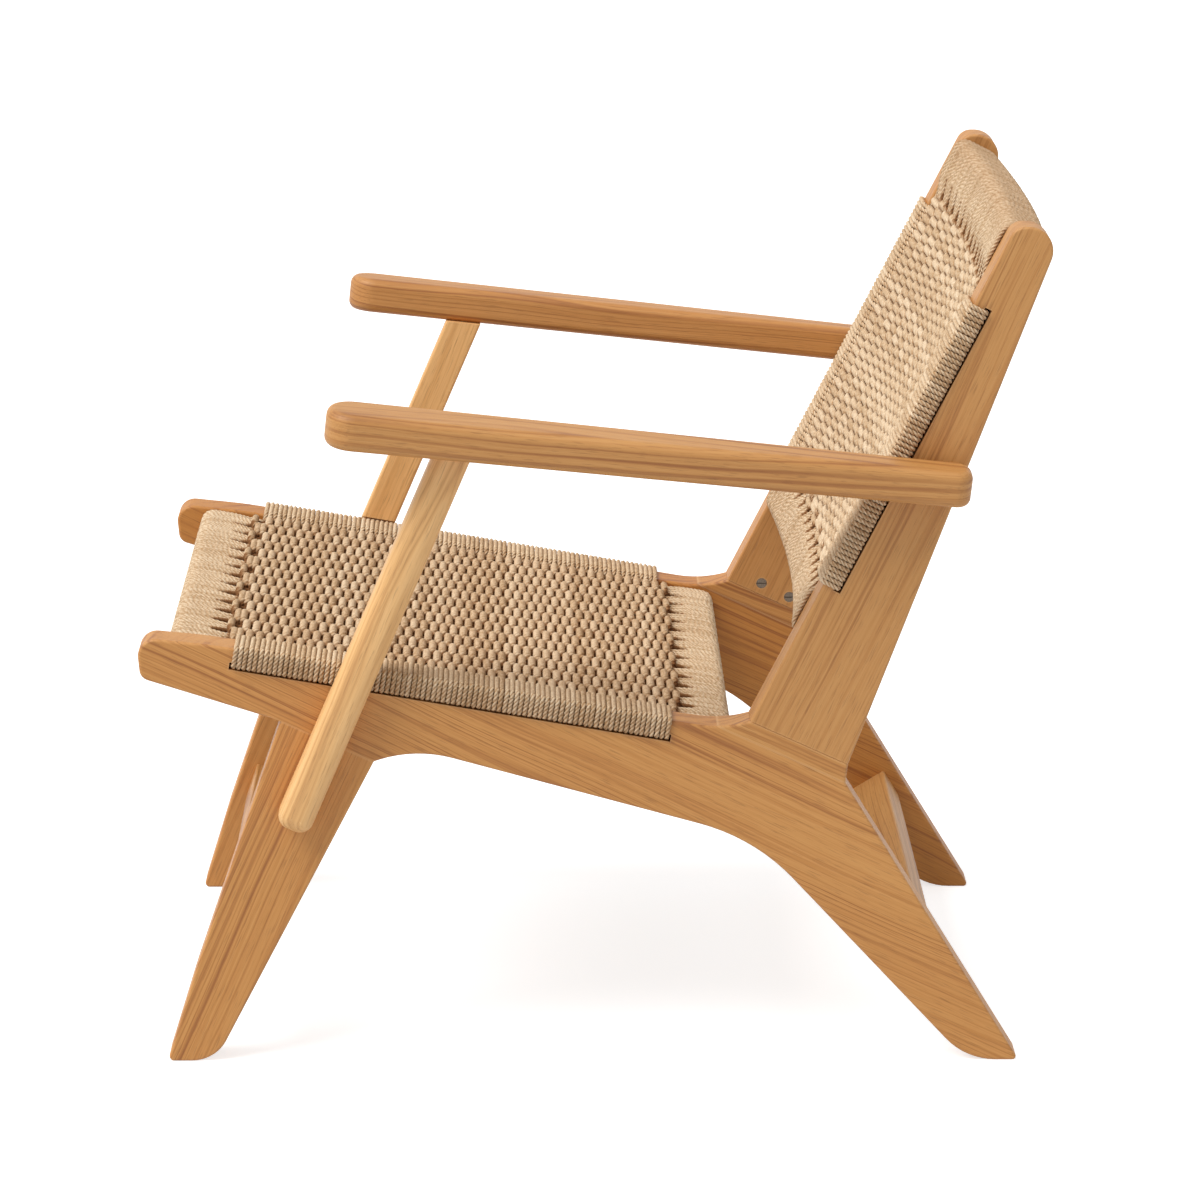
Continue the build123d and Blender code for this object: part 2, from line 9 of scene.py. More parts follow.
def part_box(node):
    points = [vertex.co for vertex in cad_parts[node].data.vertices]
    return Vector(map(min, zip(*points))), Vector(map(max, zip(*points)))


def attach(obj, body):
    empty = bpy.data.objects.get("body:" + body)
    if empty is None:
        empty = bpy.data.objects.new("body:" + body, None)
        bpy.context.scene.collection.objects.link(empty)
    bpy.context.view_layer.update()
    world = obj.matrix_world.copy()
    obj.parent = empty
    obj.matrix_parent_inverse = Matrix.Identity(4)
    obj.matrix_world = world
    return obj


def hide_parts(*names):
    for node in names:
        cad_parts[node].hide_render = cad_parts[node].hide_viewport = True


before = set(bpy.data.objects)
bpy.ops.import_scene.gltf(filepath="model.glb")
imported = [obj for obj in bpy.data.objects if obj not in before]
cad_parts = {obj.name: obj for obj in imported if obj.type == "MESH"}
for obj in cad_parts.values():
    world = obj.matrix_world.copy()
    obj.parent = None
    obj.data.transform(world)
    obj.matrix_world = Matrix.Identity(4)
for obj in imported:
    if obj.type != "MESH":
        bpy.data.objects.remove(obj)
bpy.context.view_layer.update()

MM_PER_METRE = 1000

# Sizes of the chair in millimetres and degrees, as in the CAD part
FRAME_OUTER = 280.5  # from the middle of the chair to the outer faces of the side members
FRAME_INNER = 244.5  # and to their inner faces
SEAT_ORIGIN = (-325.0, 375.0)
SEAT_PITCH = 9.65
BACK_ORIGIN = (137.5, 307.0)
BACK_LEAN = 27.0
BACK_BOW = 11.0

# One cord, in millimetres
CORD_RADIUS = 2.35
CORD_OFFSET = 2.55  # from a surface to the middle of a cord that lies on it
CORD_TWIST = 13.0  # length of one turn of the twist
CORD_TWIST_SPREAD = 0.15
CORD_START_TURN = 6.28  # largest turn at the start of a cord, in radians
CORD_STEP = 1.6  # between the rings of a cord's mesh
CORD_SIDES = 12
PLIES = 3
PLY_GROOVE = 0.62  # share of the radius that is left at the bottom of a groove
PLY_POWER = 0.8  # below 1 for broad crowns and narrow grooves
CROSSWISE = (0.31, 0.85, 0.43)  # a direction that no cord starts along

# The run of warp and weft, in millimetres
WARP_GROUPS = 14
STRANDS = 7
STRAND_STAGGER = 0.6  # every other strand of a group lies this much higher, the rest this much lower
STRAND_JITTER = 0.05
GROUP_MARGIN = 3.0  # a group leaves a bar this far before the bar's edge
WARP_TUCK = 10.0  # strands end beside the bars, this far below the middle of the weave
WRAP_START = 9.0  # filling strands start and end there too
WRAP_END = 8.0
BAR_BEND = 11.0
GROUP_BEND = 5.0
BEND_POINTS = 9
WEFT_PITCH = 4.42
WEFT_BEND = 2.5
WEFT_TUCK = 6.0  # rows end beside the members, this far below the middle of the weave
ROW_JITTER = 0.12
ROW_POINTS = 240
ROW_MARGIN = 4.0  # a row's waves start this far inside the edge of the warp
MEMBER_MARGIN = 1.0  # a row lies on a member up to this far past its inner edge
WAVE_STEEPNESS = 5.0
SOFTEN_STEP = 0.5
PIECES_PER_KIND = 6

# Where cords count as woven, and where they swell, in millimetres
WEAVE_FADE_ACROSS = 6.0  # the weave fades out over this width at its sides
WEAVE_FADE_ALONG = 4.0  # and over this length at its ends
WEAVE_MARGIN = 1.0  # which lie this far past the last rows
SWELL_AT_MIDDLE = 0.1  # share of the swell at the middle of the weave
SWELL_SLOPE = 1.5  # and how fast it grows up to the weave's height

# Painted shade in hollows, in the gaps between warp groups, on the sides and on the far wrap, with
# distances in millimetres
HOLLOW_FADE = 2.4  # depth over which a hollow grows dark
GAP_ON_BAR = 3.0  # gaps start this far before a bar's edge
GAP_IN_WEAVE = 2.0  # and end this far inside the weave
GAP_DEPTH = 8.0  # gaps have no shade this far below the middle of the weave
GAP_DEPTH_FADE = 4.0  # and all of it this much higher
GAP_FADE = 1.5  # width over which a gap grows dark
GAP_SHADE = 0.9
GROUP_HALF = 9.0  # half the width of a group where it enters the weave
STRIP_TOP = 0.5  # the strips beside the members are light above this level
STRIP_FADE = 9.0  # and darkest this far below it
STRIP_GROOVE_SHADE = 0.4
STRIP_GROOVE_TOP = 3.2  # the grooves between their cords start this far from the member
STRIP_GROOVE_FADE = 1.3  # and are darkest this much nearer to it
WRAP_LIGHT = 10.0  # the wrap on the second bar stays light over this length
WRAP_FADE = 30.0  # and is darkest this much further on

# Wood: stops of (darkness, colour), and noise features per metre across, along and across the grain
WOOD_STOPS = [(0.05, (0.7, 0.367, 0.117)), (0.4, (0.56, 0.257, 0.068)), (0.9, (0.35, 0.131, 0.029))]
WOOD_DARKNESS = 0.24  # between the lines
ROUGH_NOISE = (3.0, 0.6)  # detail and roughness of a noise with fine steps
FIBRE_SCALE = (800, 20, 800)
FIBRE_DARKNESS = 0.3
BROAD_SCALE = (14, 2.5, 14)
BROAD_DARKNESS = 0.22
PORE_SCALE = (1100, 45, 1100)
PORE_STOPS = [(0.32, (1.0, 1.0, 1.0)), (0.42, (0.0, 0.0, 0.0))]
PORE_COLOUR = (0.2, 0.072, 0.018)
PORE_SHARE = 0.35
PORE_DEPTH = 0.8
# Painted highlight: a paler colour along the edges of the wood
EDGE_HIGHLIGHT_COLOUR = (0.8, 0.54, 0.28)
EDGE_HIGHLIGHT_SHARE = 0.3
EDGE_HIGHLIGHT_RADIUS = 0.0025
EDGE_HIGHLIGHT_SAMPLES = 4
EDGE_HIGHLIGHT_GAIN = 6.0
WOOD_ROUGHNESS = 0.44
FIBRE_ROUGHNESS = 0.18
WOOD_SPECULAR = 0.5
WOOD_BUMP = {"Strength": 0.12, "Distance": 0.0005}

# Growth lines of the wood: how far rings bend and wander in metres, two kinds of (lines per metre, width)
RING_BEND_SCALE = (8, 1.6, 8)
RING_BEND = 0.035
RING_WANDER_SCALE = (70, 7, 70)
RING_WANDER = 0.0025
RING_DRIFT = 0.004  # how fast the lines change along the grain
COARSE_LINES = (140.0, 0.055)
FINE_LINES = (430.0, 0.14)
FINE_SHARE = 0.3
LINE_DETAIL = 1.0
LINE_POWER = 1.4
LINE_STRENGTH_SCALE = (45, 1.2, 45)
LINE_STRENGTH_STOPS = [(0.34, (0.25, 0.25, 0.25)), (0.6, (1.2, 1.2, 1.2))]

# Grain of each wooden piece: degrees up from the +Y axis in the side view, ring centre, line strength, tone
SIDE_GRAIN = {
    "side_rail": (-26.0, (0.06, 0.2), 0.54, (0.93, 0.89, 0.84)),
    "post_block": (-24.0, (0.1, 0.1), 0.54, (0.9, 0.87, 0.83)),
    "front_leg": (66.0, (0.05, 0.12), 0.46, (0.93, 0.88, 0.82)),
    "back_post": (65.0, (-0.09, 0.15), 0.38, (0.9, 0.9, 0.95)),
    "armrest": (-5.93, (0.03, 0.09), 0.5, (0.89, 0.88, 0.9)),
    "arm_support": (66.9, (0.2, -0.12), 0.3, (1.34, 1.65, 2.4)),
}
SIDE_SHIFTS = {"left": 0.0, "right": 3.7}  # along the grain, so that the two sides differ
PIECE_SHIFT = 0.9  # and the pieces of a side
# painted shade: pieces on the right side are darker and warmer, as if in shade
RIGHT_SHADE_TONES = {"side_rail": (0.88, 0.76, 0.5)}
RIGHT_SHADE_TONE = (0.99, 0.94, 0.87)
CROSS_GRAIN = 90.0  # degrees from the Y axis, along the piece
CROSS_PITH = (0.1, 0.02)
CROSS_STRENGTH = 0.54
CROSS_TONE = (0.86, 0.88, 0.95)
CROSS_PIECES = (
    "seat_front_crossbar",
    "seat_rear_crossbar",
    "back_bottom_crossbar",
    "back_top_crossbar",
    "front_stretcher",
    "rear_stretcher",
    "front_leg_dowels",
    "crossbar_dowels",
    "stretcher_dowels",
    "arm_dowels",
    "arm_spacers",
)
STEEL_PIECES = ("post_bolts", "post_nuts", "support_screws", "armrest_screws")

# Look of the cord
CORD_STOPS = [(0.28, (0.54, 0.36, 0.2)), (0.5, (0.76, 0.57, 0.37)), (0.72, (0.9, 0.73, 0.52))]
CORD_DARKENING = 0.2
CORD_SHARE = 0.25  # how much whole cords differ
PATCH_SCALE = (150, 430, 430)
PATCH_SHARE = 0.9
FLECK_SCALE = 1400.0
FLECK_SHARE = 0.25
# Painted shade in the grooves between plies
GROOVE_SHADE_COLOUR = (0.36, 0.175, 0.06)
GROOVE_SHADE_SHARE = 0.8
# Painted shade in the hollows of the weave: warmer, then darker the deeper a point lies
PAINTED_SHADE_TONE = (0.6, 0.38, 0.2)
HOLLOW_SHADE_COLOUR = (0.16, 0.06, 0.015)
HOLLOW_SHADE_POWER = 2.0
HOLLOW_SHADE_SHARE = 0.85
CORD_ROUGHNESS = 0.7
FLECK_ROUGHNESS = 0.2
CORD_SPECULAR = 0.3
CORD_BUMP = {"Strength": 0.2, "Distance": 0.0004}

# Look of the steel
STEEL_STOPS = [(0.3, (0.12, 0.09, 0.065)), (0.7, (0.27, 0.22, 0.17))]
STEEL_METALLIC = 0.7
STEEL_ROUGHNESS = 0.35
SCRATCH_SCALE = (300, 1800, 1800)
SCRATCH_DETAIL = 3.0
SCRATCH_ROUGHNESS = 0.25

# Camera that took the photo: aim in degrees, lengths in millimetres, clip in metres
CAMERA_YAW = 0.836
CAMERA_PITCH = 13.645
CAMERA_ROLL = -0.182
CAMERA_DISTANCE = 4730.3
CAMERA_TARGET = (0.0, 12.0, 346.8)
CAMERA_LENS = 155.6
CAMERA_SENSOR = 36.0
CAMERA_CLIP = 100.0

# Studio: at a level of 1 a white surface that faces the light renders white
SKY_LEVEL = 0.5
KEY_LEVEL = 0.85
KEY_FROM = (0.28, -0.5, 0.82)
KEY_SOFTNESS = 40.0  # degrees across
FLOOR_HALF = 30.0  # metres
FLOOR_COLOUR = (0.7, 0.7, 0.7, 1)
FLOOR_ROUGHNESS = 0.95
FLOOR_GLOW = 0.7
WHITE = (1, 1, 1, 1)

random = np.random.default_rng(7)


# Panels

@dataclass
class Panel:
    """Woven seat or back: two side members and two bars, in coordinates of its own, in millimetres.

    x runs across the chair, along runs from the first bar to the second, and above stands out of the weave.
    above is 0 on the members. Painted shades run from 0, as light as the cord, to 1, the darkest.
    """

    name: str
    origin: np.ndarray
    along_axis: np.ndarray
    above_axis: np.ndarray
    weave: tuple  # where the slots start and end
    slot_drop: float  # from the top of the members to the cords in their slots
    bars: tuple  # where each of the two bars starts and ends
    face: float  # level of the bars' front side
    rear: float  # level of the bars' rear side
    middle: float  # level of the warp in the weave
    bow: float  # how far the weave lies back halfway between the members
    height: float  # how far the weft rises and dips
    swell: float  # how much thicker the cords are on top of the weave
    flat: float  # how much cords are pressed flat in the weave
    squeeze: float  # how tightly the strands of a group are drawn together
    sink: float  # how far the strands lie below the middle
    edge_rows: tuple  # weft rows beyond the slots at each end
    shadow: float  # painted shade darkens hollows within this distance of the middle
    weave_shade: float  # least painted shade in the weave
    strip_shade: float  # painted shade on the strips beside the members
    wrap_shade: float  # painted shade on the far side of the second bar, which turns away from the light

    def to_world(self, points):
        """Points (x, along, above) in millimetres as world points in metres."""
        points = np.asarray(points, float)
        across = np.clip(points[:, 0] / FRAME_INNER, -1, 1)
        above = points[:, 2] - self.bow * (1 - across**2)
        world = self.origin + points[:, 1:2] * self.along_axis + above[:, None] * self.above_axis
        world[:, 0] += points[:, 0]
        return world / MM_PER_METRE

    def to_local(self, points):
        """World points in metres as points (x, along, above) in millimetres."""
        offset = points * MM_PER_METRE - self.origin
        across = np.clip(offset[:, 0] / FRAME_INNER, -1, 1)
        above = offset @ self.above_axis + self.bow * (1 - across**2)
        return np.column_stack([offset[:, 0], offset @ self.along_axis, above])

    def cord_levels(self):
        """Levels of the cords on the front and on the rear side of the bars."""
        return self.face + CORD_OFFSET, self.rear - CORD_OFFSET

    def woven(self):
        """Where the woven sheet starts and ends, with the rows beyond the slots."""
        before, after = self.edge_rows
        return self.weave[0] - before * WEFT_PITCH, self.weave[1] + after * WEFT_PITCH

    def in_weave(self, local):
        """1 inside the woven sheet, falling to 0 over a few millimetres at its edges."""
        start, end = self.woven()
        beside = (warp_half() - np.abs(local[:, 0])) / WEAVE_FADE_ACROSS
        before = (local[:, 1] - start + WEAVE_MARGIN) / WEAVE_FADE_ALONG
        after = (end + WEAVE_MARGIN - local[:, 1]) / WEAVE_FADE_ALONG
        return np.clip(np.minimum(beside, np.minimum(before, after)), 0, 1)

    def thickness(self, local):
        """How much thicker a cord is where it lies loose on top of the weave."""
        rise = (local[:, 2] - self.middle) / self.height
        over = np.clip(SWELL_AT_MIDDLE + SWELL_SLOPE * rise, 0, 1)
        return 1 + self.swell * over * self.in_weave(local)

    def flatten(self, points, path):
        """Rings of world points round a panel path, pressed flat where they lie in the weave."""
        local = self.to_local(points.reshape(-1, 3))
        centre = np.repeat(path, len(local) // len(path), axis=0)
        local[:, 2] -= self.flat * self.in_weave(centre) * (local[:, 2] - centre[:, 2])
        return self.to_world(local)

    def gaps(self, local):
        """Painted shade in the gaps between warp groups, which open from a bar to the weave, and 0
        elsewhere.
        """
        x, along, above = local.T
        first, second = self.bars[0][1] - GAP_ON_BAR, self.bars[1][0] + GAP_ON_BAR
        start, end = self.woven()
        before = np.clip((along - first) / (start - first), 0, 1) * (along < start + GAP_IN_WEAVE)
        after = np.clip((second - along) / (second - end), 0, 1) * (along > end - GAP_IN_WEAVE)
        opening = np.sqrt(np.maximum(before, after))
        pitch = group_pitch()
        from_centre = np.abs((x + warp_half()) % pitch - pitch / 2)
        group_half = pitch / 2 - opening * (pitch / 2 - GROUP_HALF)
        shade = np.clip((from_centre - group_half) / GAP_FADE, 0, GAP_SHADE)
        front_side = np.clip((above - self.middle + GAP_DEPTH) / GAP_DEPTH_FADE, 0, 1)
        return shade * (opening > 0) * (np.abs(x) < warp_half()) * front_side

    def strips(self, local):
        """Painted shade on the strips beside the members, darker in the grooves and towards the slots."""
        x, _, above = local.T
        down = np.clip((STRIP_TOP - above) / STRIP_FADE, 0, 1) * (np.abs(x) > FRAME_OUTER)
        groove_shade = np.clip((FRAME_OUTER + STRIP_GROOVE_TOP - np.abs(x)) / STRIP_GROOVE_FADE, 0, 1)
        return (self.strip_shade + STRIP_GROOVE_SHADE * groove_shade) * down

    def shade(self, local):
        """Painted shade at points of the cords: 0 on top, up to 1 and more at the bottom of hollows."""
        _, along, above = local.T
        hollows = (self.shadow - np.abs(above - self.middle)) / HOLLOW_FADE
        woven = np.clip(hollows, self.weave_shade, 1) * self.in_weave(local)
        # painted shade on the far wrap, which turns away from the light
        wrap = np.clip((along - self.bars[1][0] - WRAP_LIGHT) / WRAP_FADE, 0, 1)
        return np.maximum(woven, self.gaps(local)) + self.strips(local) + self.wrap_shade * wrap


def side_vector(y, z):
    """A vector in the chair's middle plane."""
    return np.array([0.0, y, z])


def seat_panel():
    """The seat, from its front bar to its rear bar."""
    pitch = math.radians(SEAT_PITCH)
    return Panel(
        name="seat",
        origin=side_vector(*SEAT_ORIGIN),
        along_axis=side_vector(math.cos(pitch), -math.sin(pitch)),
        above_axis=side_vector(math.sin(pitch), math.cos(pitch)),
        weave=(19.0, 401.0),
        slot_drop=15.0,
        bars=((-34.0, -4.0), (422.5, 452.5)),
        face=-7.3,
        rear=-35.3,
        middle=-4.75,
        bow=0.0,
        height=3.0,
        swell=0.6,
        flat=0.0,
        squeeze=0.9,
        sink=1.4,
        edge_rows=(2, 2),
        shadow=4.1,
        weave_shade=0.14,
        strip_shade=0.22,
        wrap_shade=0.0,
    )


def back_panel():
    """The back, from its bottom bar to its top bar."""
    lean = math.radians(BACK_LEAN)
    return Panel(
        name="back",
        origin=side_vector(*BACK_ORIGIN),
        along_axis=side_vector(math.sin(lean), math.cos(lean)),
        above_axis=side_vector(-math.cos(lean), math.sin(lean)),
        weave=(137.0, 410.0),
        slot_drop=12.5,
        bars=((85.0, 121.0), (441.0, 477.0)),
        face=-0.3,
        rear=-35.7,
        middle=-2.55,
        bow=BACK_BOW,
        height=1.3,
        swell=0.75,
        flat=0.45,
        squeeze=0.9,
        sink=1.0,
        edge_rows=(2, 3),
        shadow=1.8,
        weave_shade=0.0,
        strip_shade=0.14,
        wrap_shade=0.3,
    )


# Paths of the cords

def resample(points, step):
    """The path with evenly spaced points."""
    points = np.asarray(points, float)
    lengths = np.r_[0, np.cumsum(np.linalg.norm(np.diff(points, axis=0), axis=1))]
    count = max(int(round(lengths[-1] / step)), 2)
    places = np.linspace(0, lengths[-1], count + 1)
    return np.column_stack([np.interp(places, lengths, points[:, axis]) for axis in range(3)])


def soften(points, reach):
    """The path with its corners rounded over a reach in millimetres, ends kept."""
    fine = resample(points, SOFTEN_STEP)
    half = int(reach / SOFTEN_STEP)
    weights = np.hanning(2 * half + 3)[1:-1]
    weights /= weights.sum()
    first, last = fine[:1], fine[-1:]
    padded = np.vstack([np.repeat(first, half, 0), fine, np.repeat(last, half, 0)])
    smooth = np.column_stack([np.convolve(padded[:, axis], weights, "valid") for axis in range(3)])
    return np.vstack([first, smooth, last])


def bend(rows):
    """Path through rows of (point, reach), with each corner rounded over its reach on both sides.

    A curve starts and ends at most halfway to the neighbouring points.
    """
    points = [np.array(point, float) for point, _ in rows]
    path = [points[0]]
    for index in range(1, len(rows) - 1):
        corner, reach = points[index], rows[index][1]
        legs = [points[index - 1] - corner, points[index + 1] - corner]
        start, end = [corner + leg * min(reach / np.linalg.norm(leg), 0.5) for leg in legs]
        for part in np.linspace(0, 1, BEND_POINTS):
            path.append((1 - part) ** 2 * start + 2 * part * (1 - part) * corner + part**2 * end)
    return np.array([*path, points[-1]])


def warp_half():
    """Half the width over which the warp is spread."""
    return FRAME_INNER - 2 * CORD_OFFSET


def group_pitch():
    """Width of one warp group."""
    return 2 * warp_half() / WARP_GROUPS


def over_under(x):
    """Height of a weft between -1, under a warp group, and 1, over it."""
    wave = np.sin(np.pi * (x + warp_half()) / group_pitch())
    return np.tanh(WAVE_STEEPNESS * wave) / math.tanh(WAVE_STEEPNESS)


def row_turn(row):
    """1 for rows that start over a warp group and -1 for those that start under it."""
    return 1 if row % 2 else -1


def woven_row(panel, along, turn):
    """Path of a weft cord across the warp groups, over one and under the next."""
    x = np.linspace(-warp_half() + ROW_MARGIN, warp_half() - ROW_MARGIN, ROW_POINTS)
    above = panel.middle + turn * panel.height * over_under(x)
    return np.column_stack([x, np.full_like(x, along), above])


def weft_path(panel, along, turn):
    """One weft cord: round the right member through its slot, across the weave, round the left member."""
    inside, outside = FRAME_INNER - CORD_OFFSET, FRAME_OUTER + CORD_OFFSET
    left = [
        (inside, along, panel.middle - WEFT_TUCK),
        (inside, along, -panel.slot_drop),
        (outside, along, -panel.slot_drop),
        (outside, along, CORD_OFFSET),
        (FRAME_INNER - MEMBER_MARGIN, along, CORD_OFFSET),
    ]
    right = [(-x, along, above) for x, _, above in left]
    return soften([*right, *woven_row(panel, along, turn), *reversed(left)], WEFT_BEND)


def weft_paths(panel):
    """All weft cords through the slots of a panel, one after the other along the weave."""
    start, end = panel.weave
    count = int(round((end - start) / WEFT_PITCH))
    pitch = (end - start) / count
    paths = []
    for row in range(count):
        along = start + (row + 0.5) * pitch + random.normal(0, ROW_JITTER)
        paths.append(weft_path(panel, along, row_turn(row)))
    return paths


def edge_paths(panel):
    """Weft rows beyond the ends of the slots, which stay between the members and dip at their ends."""
    before, after = panel.edge_rows
    rows = [panel.weave[0] - (row + 0.5) * WEFT_PITCH for row in range(before)]
    rows += [panel.weave[1] + (row + 0.5) * WEFT_PITCH for row in range(after)]
    reach = FRAME_INNER - CORD_OFFSET
    low = panel.middle - panel.height
    paths = []
    for row, along in enumerate(rows):
        path = [(-reach, along, low), *woven_row(panel, along, row_turn(row)), (reach, along, low)]
        paths.append(soften(path, WEFT_BEND))
    return paths


def hook(panel, x, inner, outer, tuck):
    """Rows for bend: from below the weave round the back of a bar, given by its inner and outer edge."""
    face, rear = panel.cord_levels()
    side = math.copysign(CORD_OFFSET, inner - outer)
    return [
        ((x, inner + side, panel.middle - tuck), 0.0),
        ((x, inner + side, rear), BAR_BEND),
        ((x, outer - side, rear), BAR_BEND),
        ((x, outer - side, face), BAR_BEND),
    ]


def warp_path(panel, x_bar, x_weave, level):
    """One warp strand: hooked round the first bar, through the weave and hooked round the second bar."""
    face, _ = panel.cord_levels()
    (low, first_edge), (second_edge, high) = panel.bars
    first, second = panel.woven()
    return bend([
        *hook(panel, x_bar, first_edge, low, WARP_TUCK),
        ((x_bar, first_edge - GROUP_MARGIN, face), GROUP_BEND),
        ((x_weave, first, panel.middle + level), GROUP_BEND),
        ((x_weave, second, panel.middle + level), GROUP_BEND),
        ((x_bar, second_edge + GROUP_MARGIN, face), GROUP_BEND),
        *reversed(hook(panel, x_bar, second_edge, high, WARP_TUCK)),
    ])


def wrap_path(panel, x, inner, outer):
    """A filling strand between two warp groups: once round a bar, given by its inner and outer edge."""
    face, _ = panel.cord_levels()
    edge = inner + math.copysign(CORD_OFFSET, inner - outer)
    return bend([
        *hook(panel, x, inner, outer, WRAP_START),
        ((x, edge, face), BAR_BEND),
        ((x, edge, panel.middle - WRAP_END), 0.0),
    ])


def warp_paths(panel):
    """All warp strands of a panel, close together on the bars.

    The last strand of a group only fills the bars up to the next group, and the others run through the
    weave. Those beside the members run straight.
    """
    pitch = group_pitch()
    step = pitch / STRANDS
    spread = (FRAME_INNER - CORD_OFFSET) / (warp_half() - step / 2)
    (low, first_edge), (second_edge, high) = panel.bars
    paths = []
    for group in range(WARP_GROUPS):
        centre = -warp_half() + (group + 0.5) * pitch
        for strand in range(STRANDS):
            x_even = centre + (strand - (STRANDS - 1) / 2) * step
            x_bar = x_even * spread + random.normal(0, STRAND_JITTER)
            x_weave = centre + (strand - (STRANDS - 2) / 2) * step * panel.squeeze
            beside_member = abs(x_bar) > FRAME_INNER - 2 * CORD_OFFSET
            if strand == STRANDS - 1 and not beside_member:
                paths.append(wrap_path(panel, x_bar, first_edge, low))
                paths.append(wrap_path(panel, x_bar, second_edge, high))
                continue
            level = (STRAND_STAGGER if strand % 2 else -STRAND_STAGGER) - panel.sink
            paths.append(warp_path(panel, x_bar, x_bar if beside_member else x_weave, level))
    return paths


# Meshes of the cords

def turning_frames(path):
    """Two unit vectors across the path at each of its points, turning as little as they can."""
    tangents = np.gradient(path, axis=0)
    tangents /= np.linalg.norm(tangents, axis=1)[:, None]
    start = np.cross(tangents[0], CROSSWISE)
    sides = [start / np.linalg.norm(start)]
    for tangent in tangents[1:]:
        side = sides[-1] - tangent * sides[-1].dot(tangent)
        sides.append(side / np.linalg.norm(side))
    sides = np.array(sides)
    return sides, np.cross(tangents, sides)


def cord_section():
    """Angles round a cord, and 1 on the crown of a ply down to 0 in the groove beside it."""
    angles = np.arange(CORD_SIDES) * 2 * np.pi / CORD_SIDES
    return angles, np.abs(np.cos(PLIES / 2 * angles)) ** PLY_POWER


def cord_rings(path, radius):
    """Rings of points round a world path, turned along it like a twisted cord."""
    across, up = turning_frames(path)
    along = np.r_[0, np.cumsum(np.linalg.norm(np.diff(path, axis=0), axis=1))] * MM_PER_METRE
    angles, crown = cord_section()
    twist = CORD_TWIST * random.uniform(1 - CORD_TWIST_SPREAD, 1 + CORD_TWIST_SPREAD)
    start_turn = random.uniform(0, CORD_START_TURN)
    turn = angles[None, :] + (along * 2 * np.pi / twist + start_turn)[:, None]
    reach = radius[:, None] / MM_PER_METRE * (PLY_GROOVE + (1 - PLY_GROOVE) * crown[None, :])
    rings = np.cos(turn)[..., None] * across[:, None] + np.sin(turn)[..., None] * up[:, None]
    return path[:, None] + reach[..., None] * rings


def ring_faces(count, base):
    """Quads between a cord's rings and a cap at each end, for points numbered from base."""
    grid = base + np.arange(count * CORD_SIDES).reshape(count, CORD_SIDES)
    nearer, further = grid[:-1], grid[1:]
    quads = np.stack([nearer, np.roll(nearer, -1, 1), np.roll(further, -1, 1), further], -1)
    return [*quads.reshape(-1, 4).tolist(), grid[0][::-1].tolist(), grid[-1].tolist()]


def cord_mesh(name, panel, paths):
    """Mesh of twisted cords along panel paths, with marks that their material reads."""
    points, faces, shades, crowns = [], [], [], []
    _, crown = cord_section()
    total = 0
    for path in paths:
        local = resample(path, CORD_STEP)
        count = len(local) * CORD_SIDES
        rings = cord_rings(panel.to_world(local), CORD_RADIUS * panel.thickness(local))
        points.append(panel.flatten(rings, local))
        faces.extend(ring_faces(len(local), total))
        shades.append(np.full(count, random.uniform(0, 1)))
        crowns.append(np.tile(crown, len(local)))
        total += count
    points = np.vstack(points)
    mesh = bpy.data.meshes.new(name)
    mesh.from_pydata(points.tolist(), [], faces)
    marks = {
        "cord_shade": np.concatenate(shades),
        "cord_crown": np.concatenate(crowns),
        # painted shade: darker in hollows, in gaps, low on the strips and on the far wrap
        "cord_painted_shade": panel.shade(panel.to_local(points)),
    }
    for label, values in marks.items():
        mesh.attributes.new(label, "FLOAT", "POINT").data.foreach_set("value", values)
    mesh.polygons.foreach_set("use_smooth", [True] * len(mesh.polygons))
    return mesh


def cord_object(name, panel, paths, node):
    """One object of twisted cords along panel paths, standing for a CAD cord node."""
    piece = bpy.data.objects.new(name, cord_mesh(name, panel, paths))
    bpy.context.scene.collection.objects.link(piece)
    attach(piece, "root")
    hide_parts(node)
    return piece


def cord_pieces(panel, kind, paths, count, node):
    """Cords in a number of mesh pieces, each of a modest size."""
    pieces = []
    for part, chunk in enumerate(np.array_split(np.arange(len(paths)), count)):
        cords = [paths[index] for index in chunk]
        pieces.append(cord_object(f"{panel.name}_{kind}_{part}", panel, cords, node))
    return pieces


def weave(panel, material):
    """All cords of a panel."""
    warp, weft = f"{panel.name}_warp_cord", f"{panel.name}_weft_cord"
    pieces = cord_pieces(panel, "warp", warp_paths(panel), PIECES_PER_KIND, warp)
    pieces += cord_pieces(panel, "weft", weft_paths(panel), PIECES_PER_KIND, weft)
    pieces += cord_pieces(panel, "edge", edge_paths(panel), 1, weft)
    for piece in pieces:
        piece.data.materials.append(material)


# Materials

